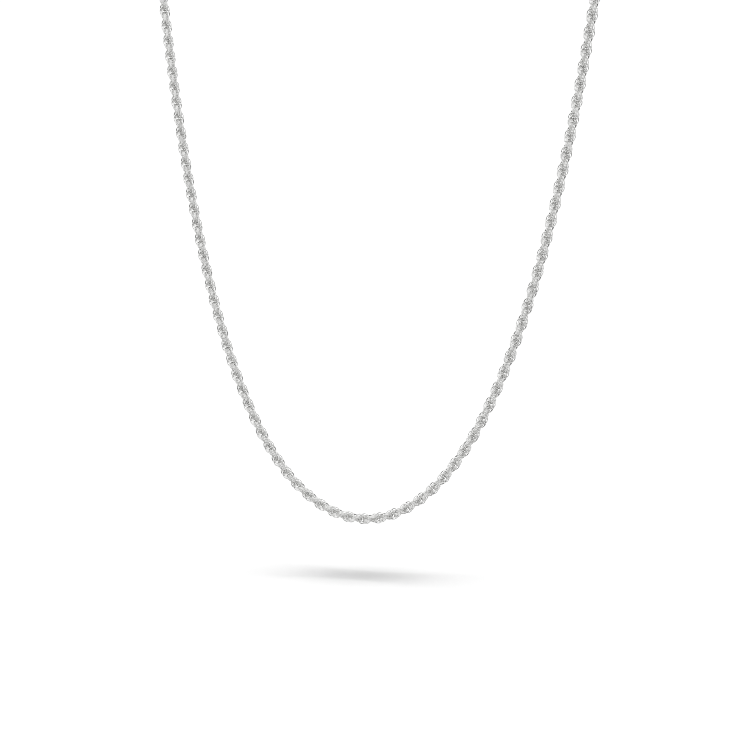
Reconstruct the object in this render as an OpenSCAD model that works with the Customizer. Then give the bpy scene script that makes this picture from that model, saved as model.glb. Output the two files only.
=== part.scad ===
// Rope chain necklace, hung as it is worn: the loop lies round the nape and
// hangs in front in one open curve. Millimetres, +Z up, +X to the wearer's left,
// the hanging front towards -Y. The origin is the middle of the nape stretch,
// on the rope's centre line.

/* [Rope] */
// Outer diameter of the rope
rope_d = 2.5; // [1.8:0.1:3.2]

/* [End caps] */
// Depth of the cup that holds an end of the rope
cap_depth = 4; // [2.5:0.5:6]
// Wall of the cup
cap_wall = 0.3; // [0.2:0.05:0.6]
// Thickness of the cup's closed end
cap_floor = 0.8; // [0.5:0.1:1.5]
// Width of the rim round the cup's mouth
rim_w = 0.7; // [0.4:0.1:1.2]
// How far the rim stands out of the cup
rim_h = 0.25; // [0.1:0.05:0.5]
// Play between the rope and the cup
cap_play = 0.1; // [0.05:0.05:0.2]

/* [Rings] */
// Wire of the jump rings and of the soldered loops
wire_d = 0.8; // [0.6:0.1:1.1]
// Inside diameter of the soldered loops
loop_bore = 1.9; // [1.6:0.1:2.6]
// Slack inside a jump ring beyond what it holds
ring_slack = 1; // [0.8:0.1:1.6]
// Gap between two linked rings
link_gap = 0.15; // [0.1:0.05:0.3]

/* [Clasp] */
// Outside diameter of the ring clasp
clasp_d = 7; // [6:0.5:10]
// Tube that the clasp is bent from
clasp_tube = 1.5; // [1.2:0.1:1.9]
// Diameter of the thumb nub
nub_d = 1; // [0.8:0.1:1.4]
// How far the thumb nub stands out of the tube
nub_h = 0.9; // [0.6:0.1:1.5]
// Place of the thumb nub round the clasp, from +X towards +Z
nub_angle = 62; // [40:1:130]

/* [Hidden] */
silver = [0.78, 0.78, 0.8];
bright_silver = [0.86, 0.86, 0.88];

// Half of the rope's way, from the mouth of the left end cap round the side of
// the neck to the lowest point in front. The other half is its mirror image.
HALF_ROUTE = [
    [14.5, 0, 0], [20, -0.7, -0.2], [27, -3.2, -0.6], [35, -8.5, -1.4],
    [42.4, -16.5, -2.5], [48.4, -26.5, -4], [52.8, -38, -6], [55.4, -49.5, -8.8],
    [56.4, -60, -12.8], [56.4, -69.5, -19], [55.6, -76, -27.5], [54.2, -79.4, -37.5],
    [52, -80, -49.8], [50, -80, -63.2], [47.5, -80, -78.2], [44.5, -80, -93.7],
    [41, -80, -109], [37, -80, -123.4], [32, -80, -137.5], [26, -80, -150.2],
    [19.5, -80, -159.7], [13, -80, -165.8], [6.5, -80, -169.3], [0, -80, -170.4]
];
// Usual length of rope between two rings of the tube
ring_step = 7.6;
tube_sides = 8;

// The clasp's parts lie in one row along X. Each place below is a distance from
// the middle of the clasp, worked outwards from one linked ring to the next.
clasp_r = (clasp_d - clasp_tube) / 2;
clasp_hole = clasp_d / 2 - clasp_tube;
ring_bore = clasp_tube + wire_d + ring_slack;
ring_r = (ring_bore + wire_d) / 2;
loop_r = (loop_bore + wire_d) / 2;
// Middle of a ring's wire to the middle of the wire that it pulls on
pull = wire_d + link_gap;
ring_place_left = clasp_hole - link_gap - wire_d / 2 + ring_r;
tail_place = clasp_d / 2 + loop_r;
ring_place_right = tail_place + loop_r - pull + ring_r;
loop_place_left = ring_place_left + ring_r - pull + loop_r;
loop_place_right = ring_place_right + ring_r - pull + loop_r;
cap_place_left = loop_place_left + loop_r;
cap_place_right = loop_place_right + loop_r;
// Both caps stand equally far from the origin, so the clasp sits off centre
cap_place = (cap_place_left + cap_place_right) / 2;
clasp_x = cap_place - cap_place_left;
cap_bore = rope_d + 2 * cap_play;
cap_outer = cap_bore + 2 * cap_wall;
rope_end = cap_place + cap_floor + cap_play;

// The rope

function last(list) = list[len(list) - 1];
function unit(v) = v / norm(v);
function mirrored(p) = [-p.x, p.y, p.z];
function whole_route() = concat(
    HALF_ROUTE,
    [for (i = [len(HALF_ROUTE) - 2:-1:0]) mirrored(HALF_ROUTE[i])]
);
function point_before(route) = 2 * route[0] - route[1];
function point_after(route) = 2 * last(route) - route[len(route) - 2];
// Smooth curve from b to c, with its slope taken from the neighbours a and d
function between(a, b, c, d, t) = 0.5 * (
    2 * b + (c - a) * t + (2 * a - 5 * b + 4 * c - d) * t * t
    + (3 * b - a - 3 * c + d) * t * t * t
);
function steps(b, c) = max(1, round(norm(c - b) / ring_step));
function smooth(q) = [
    for (i = [1:len(q) - 3])
        let (n = steps(q[i], q[i + 1]))
            for (k = [0:n - 1]) between(q[i - 1], q[i], q[i + 1], q[i + 2], k / n)
];
function centre_line(route) = concat(
    [[rope_end, 0, 0]],
    smooth(concat([point_before(route)], route, [point_after(route)])),
    [last(route), [-rope_end, 0, 0]]
);
function direction(line, i) = unit(
    line[min(i + 1, len(line) - 1)] - line[max(i - 1, 0)]
);
// Side of the tube, carried along the line so that the tube doesn't twist
function side_from(v, t) = unit(v - (v * t) * t);
function sides(line, i, v) =
    i == len(line) ? []
    : let (w = side_from(v, direction(line, i))) concat([w], sides(line, i + 1, w));
function tube_ring(centre, t, w, r) = [
    for (k = [0:tube_sides - 1])
        let (a = 360 * k / tube_sides)
            centre + r * (cos(a) * w + sin(a) * cross(t, w))
];
function tube_points(line, w, r) = [
    for (i = [0:len(line) - 1])
        each tube_ring(line[i], direction(line, i), w[i], r)
];
function corner(i, k) = i * tube_sides + k % tube_sides;
function tube_walls(count) = [
    for (i = [0:count - 2])
        for (k = [0:tube_sides - 1])
            each [
                [corner(i, k), corner(i + 1, k), corner(i + 1, k + 1)],
                [corner(i, k), corner(i + 1, k + 1), corner(i, k + 1)]
            ]
];
function tube_ends(count) = [
    [for (k = [0:tube_sides - 1]) corner(0, k)],
    [for (k = [tube_sides - 1:-1:0]) corner(count - 1, k)]
];

module rope_chain() {
    line = centre_line(whole_route());
    w = sides(line, 0, [0, 0, 1]);
    color(silver)
        polyhedron(
            points = tube_points(line, w, rope_d / 2),
            faces = concat(tube_walls(len(line)), tube_ends(len(line)))
        );
}

// The clasp and its rings

module wire_ring(r, d) {
    rotate_extrude($fn = 96)
        translate([r, 0])
            circle(d = d, $fn = 32);
}

// A ring that stands flat against the neck, with its axis along Y
module flat_ring(x, r, d) {
    translate([x, 0, 0])
        rotate([90, 0, 0])
            wire_ring(r, d);
}

module clasp() {
    color(bright_silver)
        translate([clasp_x, 0, 0]) {
            flat_ring(0, clasp_r, clasp_tube);
            flat_ring(-tail_place, loop_r, wire_d);
            rotate([0, -nub_angle, 0])
                translate([clasp_r, 0, 0])
                    thumb_nub();
        }
}

// A short pin with a round head, pointing along X
module thumb_nub() {
    reach = clasp_tube / 2 + nub_h - nub_d / 2;
    rotate([0, 90, 0])
        cylinder(d = nub_d, h = reach, $fn = 48);
    translate([reach, 0, 0])
        sphere(d = nub_d, $fn = 48);
}

module jump_ring(x) {
    color(bright_silver)
        translate([x, 0, 0])
            wire_ring(ring_r, wire_d);
}

module jump_ring_left() {
    jump_ring(clasp_x + ring_place_left);
}

module jump_ring_right() {
    jump_ring(clasp_x - ring_place_right);
}

// A cup that opens along +X, with its loop on the closed end
module end_cap() {
    length = cap_floor + cap_depth;
    color(bright_silver)
        difference() {
            union() {
                flat_ring(cap_place - loop_r, loop_r, wire_d);
                translate([cap_place, 0, 0])
                    rotate([0, 90, 0])
                        cylinder(d = cap_outer, h = length, $fn = 64);
                translate([cap_place + length - rim_w, 0, 0])
                    rotate([0, 90, 0])
                        cylinder(d = cap_outer + 2 * rim_h, h = rim_w, $fn = 64);
            }
            translate([cap_place + cap_floor, 0, 0])
                rotate([0, 90, 0])
                    cylinder(d = cap_bore, h = cap_depth + rim_w, $fn = 64);
        }
}

module end_cap_left() {
    end_cap();
}

module end_cap_right() {
    mirror([1, 0, 0])
        end_cap();
}

rope_chain();
clasp();
end_cap_left();
end_cap_right();
jump_ring_left();
jump_ring_right();
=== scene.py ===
# Silver rope chain necklace, hung as it is worn
import math

import bmesh
import bpy
import numpy as np
from mathutils import Matrix, Vector


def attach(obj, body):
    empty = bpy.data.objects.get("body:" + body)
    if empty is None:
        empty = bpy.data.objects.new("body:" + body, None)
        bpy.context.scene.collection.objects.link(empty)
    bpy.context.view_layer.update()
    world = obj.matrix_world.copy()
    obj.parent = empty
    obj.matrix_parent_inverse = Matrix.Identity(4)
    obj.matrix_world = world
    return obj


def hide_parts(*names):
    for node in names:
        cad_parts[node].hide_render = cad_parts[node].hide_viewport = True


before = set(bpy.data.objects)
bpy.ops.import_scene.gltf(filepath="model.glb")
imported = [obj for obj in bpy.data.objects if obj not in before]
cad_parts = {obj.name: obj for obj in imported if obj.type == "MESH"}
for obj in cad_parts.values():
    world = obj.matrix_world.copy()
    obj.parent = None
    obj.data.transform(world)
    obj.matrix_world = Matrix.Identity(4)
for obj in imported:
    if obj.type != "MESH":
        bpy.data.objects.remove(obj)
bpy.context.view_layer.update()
print("frame loaded:", ", ".join(sorted(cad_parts)))

mm = 0.001

# Camera, at the photo's angle: about 20 degrees to the right of the front, and level
cameraView = {
    "place": (117.0 * mm, -385.5 * mm, -138.4 * mm),
    "turnDeg": 20.55,
    "rollDeg": 0.76,
    "lens": 70.6,
    "sensor": 36.0,
    "filterWidth": 0.8,  # pixels: crisp, as a product photo is
}


def makeCamera(view):
    data = bpy.data.cameras.new("camera")
    data.lens = view["lens"]
    data.sensor_width = view["sensor"]
    camera = bpy.data.objects.new("camera", data)
    bpy.context.scene.collection.objects.link(camera)
    turn = Matrix.Rotation(math.radians(view["turnDeg"]), 3, "Z")
    level = Matrix.Rotation(math.radians(90.0), 3, "X")
    roll = Matrix.Rotation(math.radians(view["rollDeg"]), 3, "Z")
    camera.rotation_euler = (turn @ level @ roll).to_euler()
    camera.location = view["place"]
    bpy.context.scene.camera = camera
    bpy.context.scene.cycles.filter_width = view["filterWidth"]


makeCamera(cameraView)
print("camera made")

# Half of the rope's way, in mm: from the left end cap round the side of the neck
# to the lowest point in front. The other half is its mirror image.
halfRoute = [
    (14.5, 0, 0), (20, -0.7, -0.2), (27, -3.2, -0.6), (35, -8.5, -1.4),
    (42.4, -16.5, -2.5), (48.4, -26.5, -4), (52.8, -38, -6), (55.4, -49.5, -8.8),
    (56.4, -60, -12.8), (56.4, -69.5, -19), (55.6, -76, -27.5), (54.2, -79.4, -37.5),
    (52, -80, -49.8), (50, -80, -63.2), (47.5, -80, -78.2), (44.5, -80, -93.7),
    (41, -80, -109), (37, -80, -123.4), (32, -80, -137.5), (26, -80, -150.2),
    (19.5, -80, -159.7), (13, -80, -165.8), (6.5, -80, -169.3), (0, -80, -170.4),
]

# The rope: double wire links, each threaded through the five before it
rope = {
    "width": 2.5 * mm,
    "linksPerTurn": 18,
    "turnPerWidth": 2.93,  # length of one full turn over the rope's width
    "wire": 0.184 * mm,
    "wireOnBend": 0.167 * mm,  # a little thinner where the rope bends most, to stay clear
    "tightBend": 19.5 * mm,  # radius of the bend that has this thinner wire
    "wirePitch": 0.189 * mm,  # middle to middle of a link's two wires
    "linkLong": 1.1395 * mm,  # half of a link's length along the rope, to the wire's middle
    "offCentre": 0.17 * mm,  # how far a link's middle lies off the rope's axis
    "tiltDeg": -5.44,  # lean of each link to the rope's axis
    "leanDeg": 1.46,  # turn of each link in its own plane
    "middleTurnDeg": -90.0,  # turn of the middle link about the rope
    # Where the twist is a little looser, from and to which distance from the rope's
    # middle on the wearer's left, and by how many degrees in all
    "looser": (17 * mm, 75 * mm, 95.0),
    "ropeEnd": 10.1 * mm,  # where the rope's end sits in its cap, from the middle
    "segments": 26,  # steps round each ring of wire
    "sides": 6,  # sides of the wire itself
    "solderDeg": 30.0,  # where on each link the solder joins its two wires
    "solder": (0.10 * mm, 0.065 * mm, 0.06 * mm),  # half sizes: along, across, outwards
    "solderRise": 0.045 * mm,  # how far the drop's middle lies outside the wires' middles
    "paintedShadePower": 2.5,  # how fast the painted shade on a wire's sides grows from the axis outwards
    "pieces": 5,  # meshes that the links are shared out to
}


def smoothRoute(points, perSpan=60):
    # A curve through all points, with each slope taken from the neighbours. It
    # leaves the caps straight.
    first, last = points[1] - points[0], points[-1] - points[-2]
    before = points[1] - (2 * first[0], 0, 0)
    after = points[-2] + (2 * last[0], 0, 0)
    q = np.vstack([[before], points, [after]])
    t = (np.arange(perSpan) / perSpan)[:, None]
    spans = []
    for i in range(1, len(q) - 2):
        a, b, c, d = q[i - 1], q[i], q[i + 1], q[i + 2]
        spans.append(0.5 * (
            2 * b + (c - a) * t + (2 * a - 5 * b + 4 * c - d) * t**2
            + (3 * b - a - 3 * c + d) * t**3
        ))
    return np.vstack(spans + [[points[-1]]])


def wholeRoute(leadSteps=20):
    # The curve from cap to cap, with a straight lead into the cup of each
    half = np.array(halfRoute, float) * mm
    other = half[-2::-1] * (-1, 1, 1)
    middle = smoothRoute(np.vstack([half, other]))
    end = np.array([[rope["ropeEnd"], 0, 0]])
    lead = end + (middle[:1] - end) * (np.arange(leadSteps) / leadSteps)[:, None]
    tail = lead[::-1] * (-1, 1, 1)
    return np.vstack([lead, middle, tail])


def routeLength(line):
    return float(np.linalg.norm(np.diff(line, axis=0), axis=1).sum())


def routeFrames(line, places):
    # Centre, two sides and direction of the rope at each place along it. The sides
    # are carried along without twist.
    step = np.linalg.norm(np.diff(line, axis=0), axis=1)
    along = np.concatenate([[0], np.cumsum(step)])
    slope = np.gradient(line, along, axis=0)
    slope /= np.linalg.norm(slope, axis=1)[:, None]
    side = np.zeros_like(slope)
    w = np.array([0.0, 0.0, 1.0])
    for i, direction in enumerate(slope):
        w = w - direction * np.dot(w, direction)
        w /= np.linalg.norm(w)
        side[i] = w

    def pick(values):
        return np.stack([np.interp(places, along, values[:, j]) for j in range(3)], axis=1)

    centre, direction, w = pick(line), pick(slope), pick(side)
    direction /= np.linalg.norm(direction, axis=1)[:, None]
    w -= direction * np.sum(w * direction, axis=1)[:, None]
    w /= np.linalg.norm(w, axis=1)[:, None]
    return centre, w, np.cross(direction, w), direction


def linkPlaces(length, spacing):
    # How far along the rope each link's middle lies. No link reaches past the rope's ends.
    inside = rope["linkLong"] + rope["wire"] / 2
    count = int((length - 2 * inside) / spacing) + 1
    first = (length - (count - 1) * spacing) / 2
    return first + spacing * np.arange(count)


def linkTurns(places, length):
    # How far each link is turned about the rope: half a turn and one step further than
    # the link before, with linksPerTurn steps to a full turn
    number = np.arange(len(places)) - len(places) // 2
    turn = -(math.pi + 2 * math.pi / rope["linksPerTurn"]) * number
    begin, end, less = rope["looser"]
    turn -= math.radians(less) * np.clip((length / 2 - places - begin) / (end - begin), 0, 1)
    return turn + math.radians(rope["middleTurnDeg"])


def wireThickness(direction, spacing):
    # The wire of each link, thinner the tighter the rope bends there or at one of the
    # links before and after it that are threaded with it
    bend = np.linalg.norm(np.gradient(direction, spacing, axis=0), axis=1)
    threaded = int((2 * rope["linkLong"] - rope["wire"]) / spacing)
    bend = np.max([np.roll(bend, k) for k in range(-threaded, threaded + 1)], axis=0)
    return rope["wire"] - (rope["wire"] - rope["wireOnBend"]) * bend * rope["tightBend"]


def linkReach():
    # Half of a link's width to the wire's middle, so that its outer wires just reach the
    # rope's surface
    reach = (rope["width"] - rope["wire"]) / 2
    return math.sqrt(reach**2 - (rope["wirePitch"] / 2) ** 2) - rope["offCentre"]


def linkAxes():
    # A link's width, its length along the rope, and the way from one wire to the other
    tilt = math.radians(rope["tiltDeg"])
    out = np.array([1.0, 0.0, 0.0])
    up = np.array([0.0, math.sin(tilt), math.cos(tilt)])
    return out, up, np.cross(out, up)


def wireLine(t):
    # The middle of a link's wire in the link's own plane, and its outward direction
    lean = math.radians(rope["leanDeg"])
    reach, long = linkReach(), rope["linkLong"]
    turned = np.array([[math.cos(lean), math.sin(lean)], [-math.sin(lean), math.cos(lean)]])
    line = np.stack([reach * np.cos(t), long * np.sin(t)], axis=-1) @ turned
    outward = np.stack([long * np.cos(t), reach * np.sin(t)], axis=-1) @ turned
    return line, outward / np.linalg.norm(outward, axis=-1, keepdims=True)


def wireRing(shift):
    # One closed ring of wire in the rope's own axes: its middle line, the way from
    # there to the wire's surface, and the quads
    out, up, across = linkAxes()
    n, m = rope["segments"], rope["sides"]
    line, outward = wireLine(2 * math.pi * np.arange(n) / n)
    a = 2 * math.pi * (np.arange(m) + 0.5) / m
    middle = line[:, :1] * out + line[:, 1:] * up + rope["offCentre"] * out + shift * across
    middle = np.repeat(middle, m, axis=0)
    away = np.cos(a)[None, :, None] * (outward[:, :1] * out + outward[:, 1:] * up)[:, None]
    away = (away + np.sin(a)[None, :, None] * across).reshape(-1, 3)
    i, j = np.meshgrid(np.arange(n), np.arange(m), indexing="ij")
    i2, j2 = (i + 1) % n, (j + 1) % m
    quads = np.stack([i * m + j, i2 * m + j, i2 * m + j2, i * m + j2], axis=-1)
    return middle, away, quads.reshape(-1, 4)


def roundBlock(n=2):
    # A cube with n by n quads a side, rounded to a ball of radius 1
    mesh = bmesh.new()
    bmesh.ops.create_cube(mesh, size=2.0)
    bmesh.ops.subdivide_edges(mesh, edges=mesh.edges, cuts=n - 1, use_grid_fill=True)
    points = np.array([v.co for v in mesh.verts])
    quads = np.array([[v.index for v in f.verts] for f in mesh.faces])
    mesh.free()
    return points / np.linalg.norm(points, axis=1)[:, None], quads


def solderDrop():
    # The drop of solder in the groove between a link's two wires
    out, up, across = linkAxes()
    line, outward = wireLine(np.array(math.radians(rope["solderDeg"])))
    outwards = outward[0] * out + outward[1] * up
    along = np.cross(across, outwards)
    ball, quads = roundBlock()
    size = rope["solder"]
    middle = line[0] * out + line[1] * up + rope["offCentre"] * out + rope["solderRise"] * outwards
    drop = ball[:, :1] * size[0] * along + ball[:, 1:2] * size[1] * across
    drop = drop + ball[:, 2:] * size[2] * outwards
    return np.repeat(middle[None], len(drop), axis=0), drop / (rope["wire"] / 2), quads


def oneLink():
    # Two rings of wire side by side with their solder, as wireRing gives one ring
    half = rope["wirePitch"] / 2
    middles, aways, faces, start = [], [], [], 0
    for middle, away, quads in (wireRing(-half), wireRing(half), solderDrop()):
        middles.append(middle)
        aways.append(away)
        faces.append(quads + start)
        start += len(middle)
    return np.vstack(middles), np.vstack(aways), np.vstack(faces)


def painted_shade_openness(middle, away):
    # How open each place is, for the painted shade: 1 on the crest of each wire, and less on its
    # sides and below, most of all on the outer wires
    points = middle + away * rope["wire"] / 2
    far = np.hypot(points[:, 0], points[:, 1])
    facing = np.sum(points[:, :2] * away[:, :2], axis=1) / far
    return 1 - (1 - facing) * (far / (rope["width"] / 2)) ** rope["paintedShadePower"]


def meshFrom(name, points, quads):
    mesh = bpy.data.meshes.new(name)
    mesh.vertices.add(len(points))
    mesh.vertices.foreach_set("co", points.astype(np.float32).ravel())
    mesh.loops.add(quads.size)
    mesh.loops.foreach_set("vertex_index", quads.astype(np.int32).ravel())
    mesh.polygons.add(len(quads))
    mesh.polygons.foreach_set("loop_start", np.arange(0, quads.size, 4, dtype=np.int32))
    mesh.polygons.foreach_set("use_smooth", np.ones(len(quads), bool))
    mesh.update(calc_edges=True)
    mesh.validate()
    return mesh


def makeRope(material):
    line = wholeRoute()
    length = routeLength(line)
    spacing = rope["turnPerWidth"] * rope["width"] / rope["linksPerTurn"]
    places = linkPlaces(length, spacing)
    centre, w, v, direction = routeFrames(line, places)
    thick = wireThickness(direction, spacing)
    turn = linkTurns(places, length)
    x = np.cos(turn)[:, None] * w + np.sin(turn)[:, None] * v
    y = -np.sin(turn)[:, None] * w + np.cos(turn)[:, None] * v
    middle, away, quads = oneLink()
    # How open each place on a link is, which sets the painted shade on the wires
    paintedShadePoints = painted_shade_openness(middle, away).astype(np.float32)
    groups = np.array_split(np.arange(len(places)), rope["pieces"])
    for number, group in enumerate(groups, start=1):
        points = middle[None] + away[None] * (thick[group] / 2)[:, None, None]
        # A left-hand lay: the link's own second axis is turned over
        placed = (
            centre[group, None, :]
            + points[..., :1] * x[group, None, :]
            - points[..., 1:2] * y[group, None, :]
            + points[..., 2:] * direction[group, None, :]
        )
        allQuads = quads[None] + len(middle) * np.arange(len(group))[:, None, None]
        mesh = meshFrom("rope_links", placed.reshape(-1, 3), allQuads.reshape(-1, 4)[:, ::-1])
        # Kept on the mesh for the silver's painted shade
        mesh.attributes.new("painted_shade_openness", "FLOAT", "POINT")
        mesh.attributes["painted_shade_openness"].data.foreach_set("value", np.tile(paintedShadePoints, len(group)))
        mesh.materials.append(material)
        piece = bpy.data.objects.new(f"rope_links_{number}", mesh)
        bpy.context.scene.collection.objects.link(piece)
        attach(piece, "root")
        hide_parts("rope_chain")
    print("rope made:", len(places), "double links,", round(length / mm), "mm of rope")


def feed(tree, socket, value):
    # An input takes either another node's output or a fixed value
    if isinstance(value, bpy.types.NodeSocket):
        tree.links.new(value, socket)
    else:
        socket.default_value = value


def mathNode(tree, operation, *values, kind="ShaderNodeMath"):
    node = tree.nodes.new(kind)
    node.operation = operation
    for socket, value in zip(node.inputs, values):
        feed(tree, socket, value)
    return node.outputs["Value"]


def vectorNode(tree, operation, *values):
    return mathNode(tree, operation, *values, kind="ShaderNodeVectorMath")


def mapRange(tree, value, span, reach=(0.0, 1.0), shape="LINEAR"):
    # Goes over the reach while the value goes over the span
    node = tree.nodes.new("ShaderNodeMapRange")
    node.interpolation_type = shape
    node.inputs["From Min"].default_value, node.inputs["From Max"].default_value = span
    node.inputs["To Min"].default_value, node.inputs["To Max"].default_value = reach
    tree.links.new(value, node.inputs["Value"])
    return node.outputs["Result"]


def mixColours(tree, amount, first, second):
    # The first colour where the amount is 0, and the second where it is 1
    node = tree.nodes.new("ShaderNodeMix")
    node.data_type = "RGBA"
    tree.links.new(amount, node.inputs["Factor"])
    node.inputs["A"].default_value = (*first, 1)
    node.inputs["B"].default_value = (*second, 1)
    return node.outputs["Result"]


def ownSpace(tree):
    return tree.nodes.new("ShaderNodeTexCoord").outputs["Object"]


def noise(tree, scale, detail):
    node = tree.nodes.new("ShaderNodeTexNoise")
    node.inputs["Scale"].default_value = scale
    node.inputs["Detail"].default_value = detail
    tree.links.new(ownSpace(tree), node.inputs["Vector"])
    return node.outputs["Fac"]


# Silver: bright on the crests of the rope's wires, with painted shade that greys their sides and
# the hollows, with grain in its tone and roughness and a fine unevenness
silverLook = {
    "rope_silver": {
        "bright": (0.97, 0.97, 0.96),
        "grey": (0.45, 0.45, 0.45),
        "paintedShadeOnSides": (0.0, 0.7),  # openness up to which the painted shade makes it grey, and from which bright
        "sideGrain": 0.08,  # how far the grain shifts the edge of the painted shade
        "roughness": (0.28, 0.36),  # where it is bright, and where it is grey
        "grain": 2500.0,  # spots a metre
        "unevenness": 22000.0,  # bumps a metre
        "bump": 0.04,
    },
    "polished_silver": {
        "bright": (0.83, 0.83, 0.82),
        "grey": (0.74, 0.74, 0.74),
        "paintedShadeOnSides": None,  # its tone follows the grain alone
        "roughness": (0.06, 0.16),
        "grain": 900.0,
        "unevenness": 12000.0,
        "bump": 0.03,
    },
}

# What both silvers share
silverSurface = {
    "grainDetail": 3.0,
    "grainRange": (0.3, 0.7),  # noise values between which the grain goes from grey to bright
    "bumpDetail": 2.0,
    "bumpHeight": 0.01 * mm,
}


def silver(name):
    look, surface = silverLook[name], silverSurface
    material = bpy.data.materials.new(name)
    material.use_nodes = True
    tree = material.node_tree
    shader = tree.nodes["Principled BSDF"]
    shader.inputs["Metallic"].default_value = 1.0
    bump = tree.nodes.new("ShaderNodeBump")
    bump.inputs["Strength"].default_value = look["bump"]
    bump.inputs["Distance"].default_value = surface["bumpHeight"]
    uneven = noise(tree, look["unevenness"], surface["bumpDetail"])
    tree.links.new(uneven, bump.inputs["Height"])
    tree.links.new(bump.outputs["Normal"], shader.inputs["Normal"])
    grain = noise(tree, look["grain"], surface["grainDetail"])
    tone = mapRange(tree, grain, surface["grainRange"])
    if look["paintedShadeOnSides"]:
        # Painted shade: the more open a place is, the brighter; the grain shifts the edge of it
        paintedShadeNode = tree.nodes.new("ShaderNodeAttribute")
        paintedShadeNode.attribute_name = "painted_shade_openness"
        shifted = mathNode(tree, "MULTIPLY_ADD", tone, look["sideGrain"], paintedShadeNode.outputs["Fac"])
        tone = mapRange(tree, shifted, look["paintedShadeOnSides"], shape="SMOOTHSTEP")
    colour = mixColours(tree, tone, look["grey"], look["bright"])
    rough = mapRange(tree, tone, (0.0, 1.0), reach=look["roughness"][::-1])
    tree.links.new(colour, shader.inputs["Base Color"])
    tree.links.new(rough, shader.inputs["Roughness"])
    return material


def polishFindings(material):
    # The caps, the rings and the clasp keep the frame's own shapes
    findings = [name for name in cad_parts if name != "rope_chain"]
    for name in findings:
        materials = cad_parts[name].data.materials
        materials.clear()
        materials.append(material)
    print("findings polished:", ", ".join(sorted(findings)))


makeRope(silver("rope_silver"))
polishFindings(silver("polished_silver"))

# A plain pale floor that fades out before its far edge could show as a line, with a soft shadow
# painted into its colour under the front curve
floorLook = {
    "height": -183 * mm,
    "size": 1.2,  # half of its side
    "paleness": 0.9,
    "roughness": 0.8,
    "fade": (0.35, 1.0),  # distances from the origin where it begins to fade and is gone
    "shade": 0.28,  # how much darker the painted shadow makes it right under the front curve
    "paintedShadowSpread": 10.2 * mm,  # how far from there the painted shadow falls to six tenths
}


def paintedShadowUnderCurve(tree, look):
    # The painted shadow: 1 on the floor right under the lowest point of the rope, and softly less
    # all round
    x, y = halfRoute[-1][:2]
    away = vectorNode(tree, "DISTANCE", ownSpace(tree), (x * mm, y * mm, look["height"]))
    squared = mathNode(tree, "MULTIPLY", away, away)
    less = mathNode(tree, "MULTIPLY", squared, -0.5 / look["paintedShadowSpread"] ** 2)
    return mathNode(tree, "EXPONENT", less)


def makeFloor(look):
    mesh = bpy.data.meshes.new("floor")
    size, z = look["size"], look["height"]
    corners = [(-size, -size, z), (size, -size, z), (size, size, z), (-size, size, z)]
    mesh.from_pydata(corners, [], [(0, 1, 2, 3)])
    floor = bpy.data.objects.new("floor", mesh)
    bpy.context.scene.collection.objects.link(floor)
    material = bpy.data.materials.new("floor_pale")
    material.use_nodes = True
    tree = material.node_tree
    shader = tree.nodes["Principled BSDF"]
    shader.inputs["Roughness"].default_value = look["roughness"]
    shader.inputs["Specular IOR Level"].default_value = 0.0
    # The floor's colour, darkened by the painted shadow under the curve
    pale, paintedShadowColour = look["paleness"], look["paleness"] * (1 - look["shade"])
    colour = mixColours(tree, paintedShadowUnderCurve(tree, look), [pale] * 3, [paintedShadowColour] * 3)
    tree.links.new(colour, shader.inputs["Base Color"])
    distance = vectorNode(tree, "LENGTH", ownSpace(tree))
    fade = mapRange(tree, distance, look["fade"], reach=(1.0, 0.0), shape="SMOOTHSTEP")
    tree.links.new(fade, shader.inputs["Alpha"])
    mesh.materials.append(material)
    floor.visible_glossy = False  # the silver sees the studio in its place


makeFloor(floorLook)

# One wide light high above the floor, which the silver doesn't reflect
floorLight = {
    "place": (0.0, -0.08, 6.0),
    "target": (0.0, -0.08, -0.18),
    "size": (5.0, 7.0),
    "power": 590,
}


def makeFloorLight(look):
    data = bpy.data.lights.new("floor_light", "AREA")
    data.shape = "RECTANGLE"
    data.size, data.size_y = look["size"]
    data.energy = look["power"]
    light = bpy.data.objects.new("floor_light", data)
    light.location = look["place"]
    down = Vector(look["target"]) - Vector(look["place"])
    light.rotation_euler = down.to_track_quat("-Z", "Y").to_euler()
    light.visible_glossy = False
    bpy.context.scene.collection.objects.link(light)


makeFloorLight(floorLight)

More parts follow.
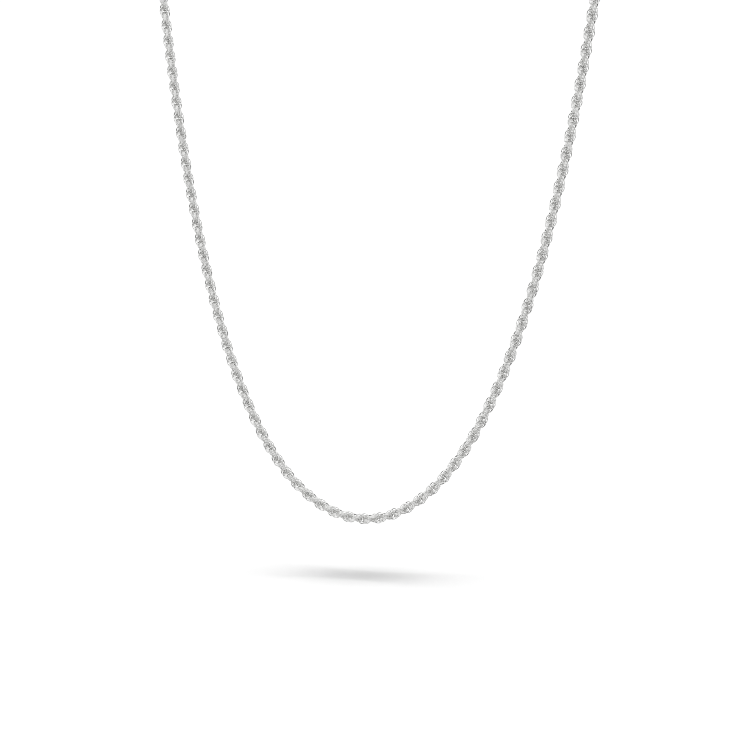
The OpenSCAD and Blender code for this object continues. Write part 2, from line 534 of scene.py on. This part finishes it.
# The studio round the necklace, as the silver sees it: white all round, with dark flags
# spread evenly over it that draw the fine dark lines on the wires
studio = {
    "white": 1.18,
    "backdrop": 1.05,  # what the camera sees behind the necklace
    "flags": 14,
    "firstFlag": 0.4,  # how far round the first flag stands, in radians
    "edges": (0.88, 0.96),  # cosines from a flag's middle where it begins and is full
    "brightSide": (-0.8, -0.4, 0.55),  # the flags are the faintest on this side
    "depth": (0.3, 1.05),  # how much darker a flag is, on the bright side and away from it
}


def studioFlags(look):
    # Direction and depth of each flag, along a spiral over the whole sphere
    bright = Vector(look["brightSide"]).normalized()
    faint, deep = look["depth"]
    goldenAngle = math.pi * (3 - math.sqrt(5))
    flags = []
    for i in range(look["flags"]):
        z = 1 - 2 * (i + 0.5) / look["flags"]
        a = i * goldenAngle + look["firstFlag"]
        level = math.sqrt(1 - z * z)
        towards = Vector((level * math.cos(a), level * math.sin(a), z))
        flags.append((towards, deep + (faint - deep) * (1 + towards.dot(bright)) / 2))
    return flags


def makeStudio(look):
    world = bpy.data.worlds.new("studio")
    bpy.context.scene.world = world
    world.use_nodes = True
    tree = world.node_tree
    around = tree.nodes.new("ShaderNodeTexCoord").outputs["Generated"]
    light = look["white"]
    for towards, depth in studioFlags(look):
        facing = vectorNode(tree, "DOT_PRODUCT", around, towards)
        shade = mapRange(tree, facing, look["edges"], reach=(0.0, depth), shape="SMOOTHSTEP")
        light = mathNode(tree, "SUBTRACT", light, shade)
    # The silver sees the studio, and the camera an even white backdrop from every side
    path = tree.nodes.new("ShaderNodeLightPath")
    mirrored = mathNode(tree, "MULTIPLY", light, path.outputs["Is Glossy Ray"])
    backdrop = look["backdrop"]
    seen = mathNode(tree, "MULTIPLY_ADD", path.outputs["Is Camera Ray"], backdrop, mirrored)
    background = tree.nodes["Background"]
    background.inputs["Color"].default_value = (1, 1, 1, 1)
    tree.links.new(seen, background.inputs["Strength"])


makeStudio(studio)
bpy.context.scene.view_settings.view_transform = "Standard"  # keeps the backdrop's white pure
print("floor, light and studio made")
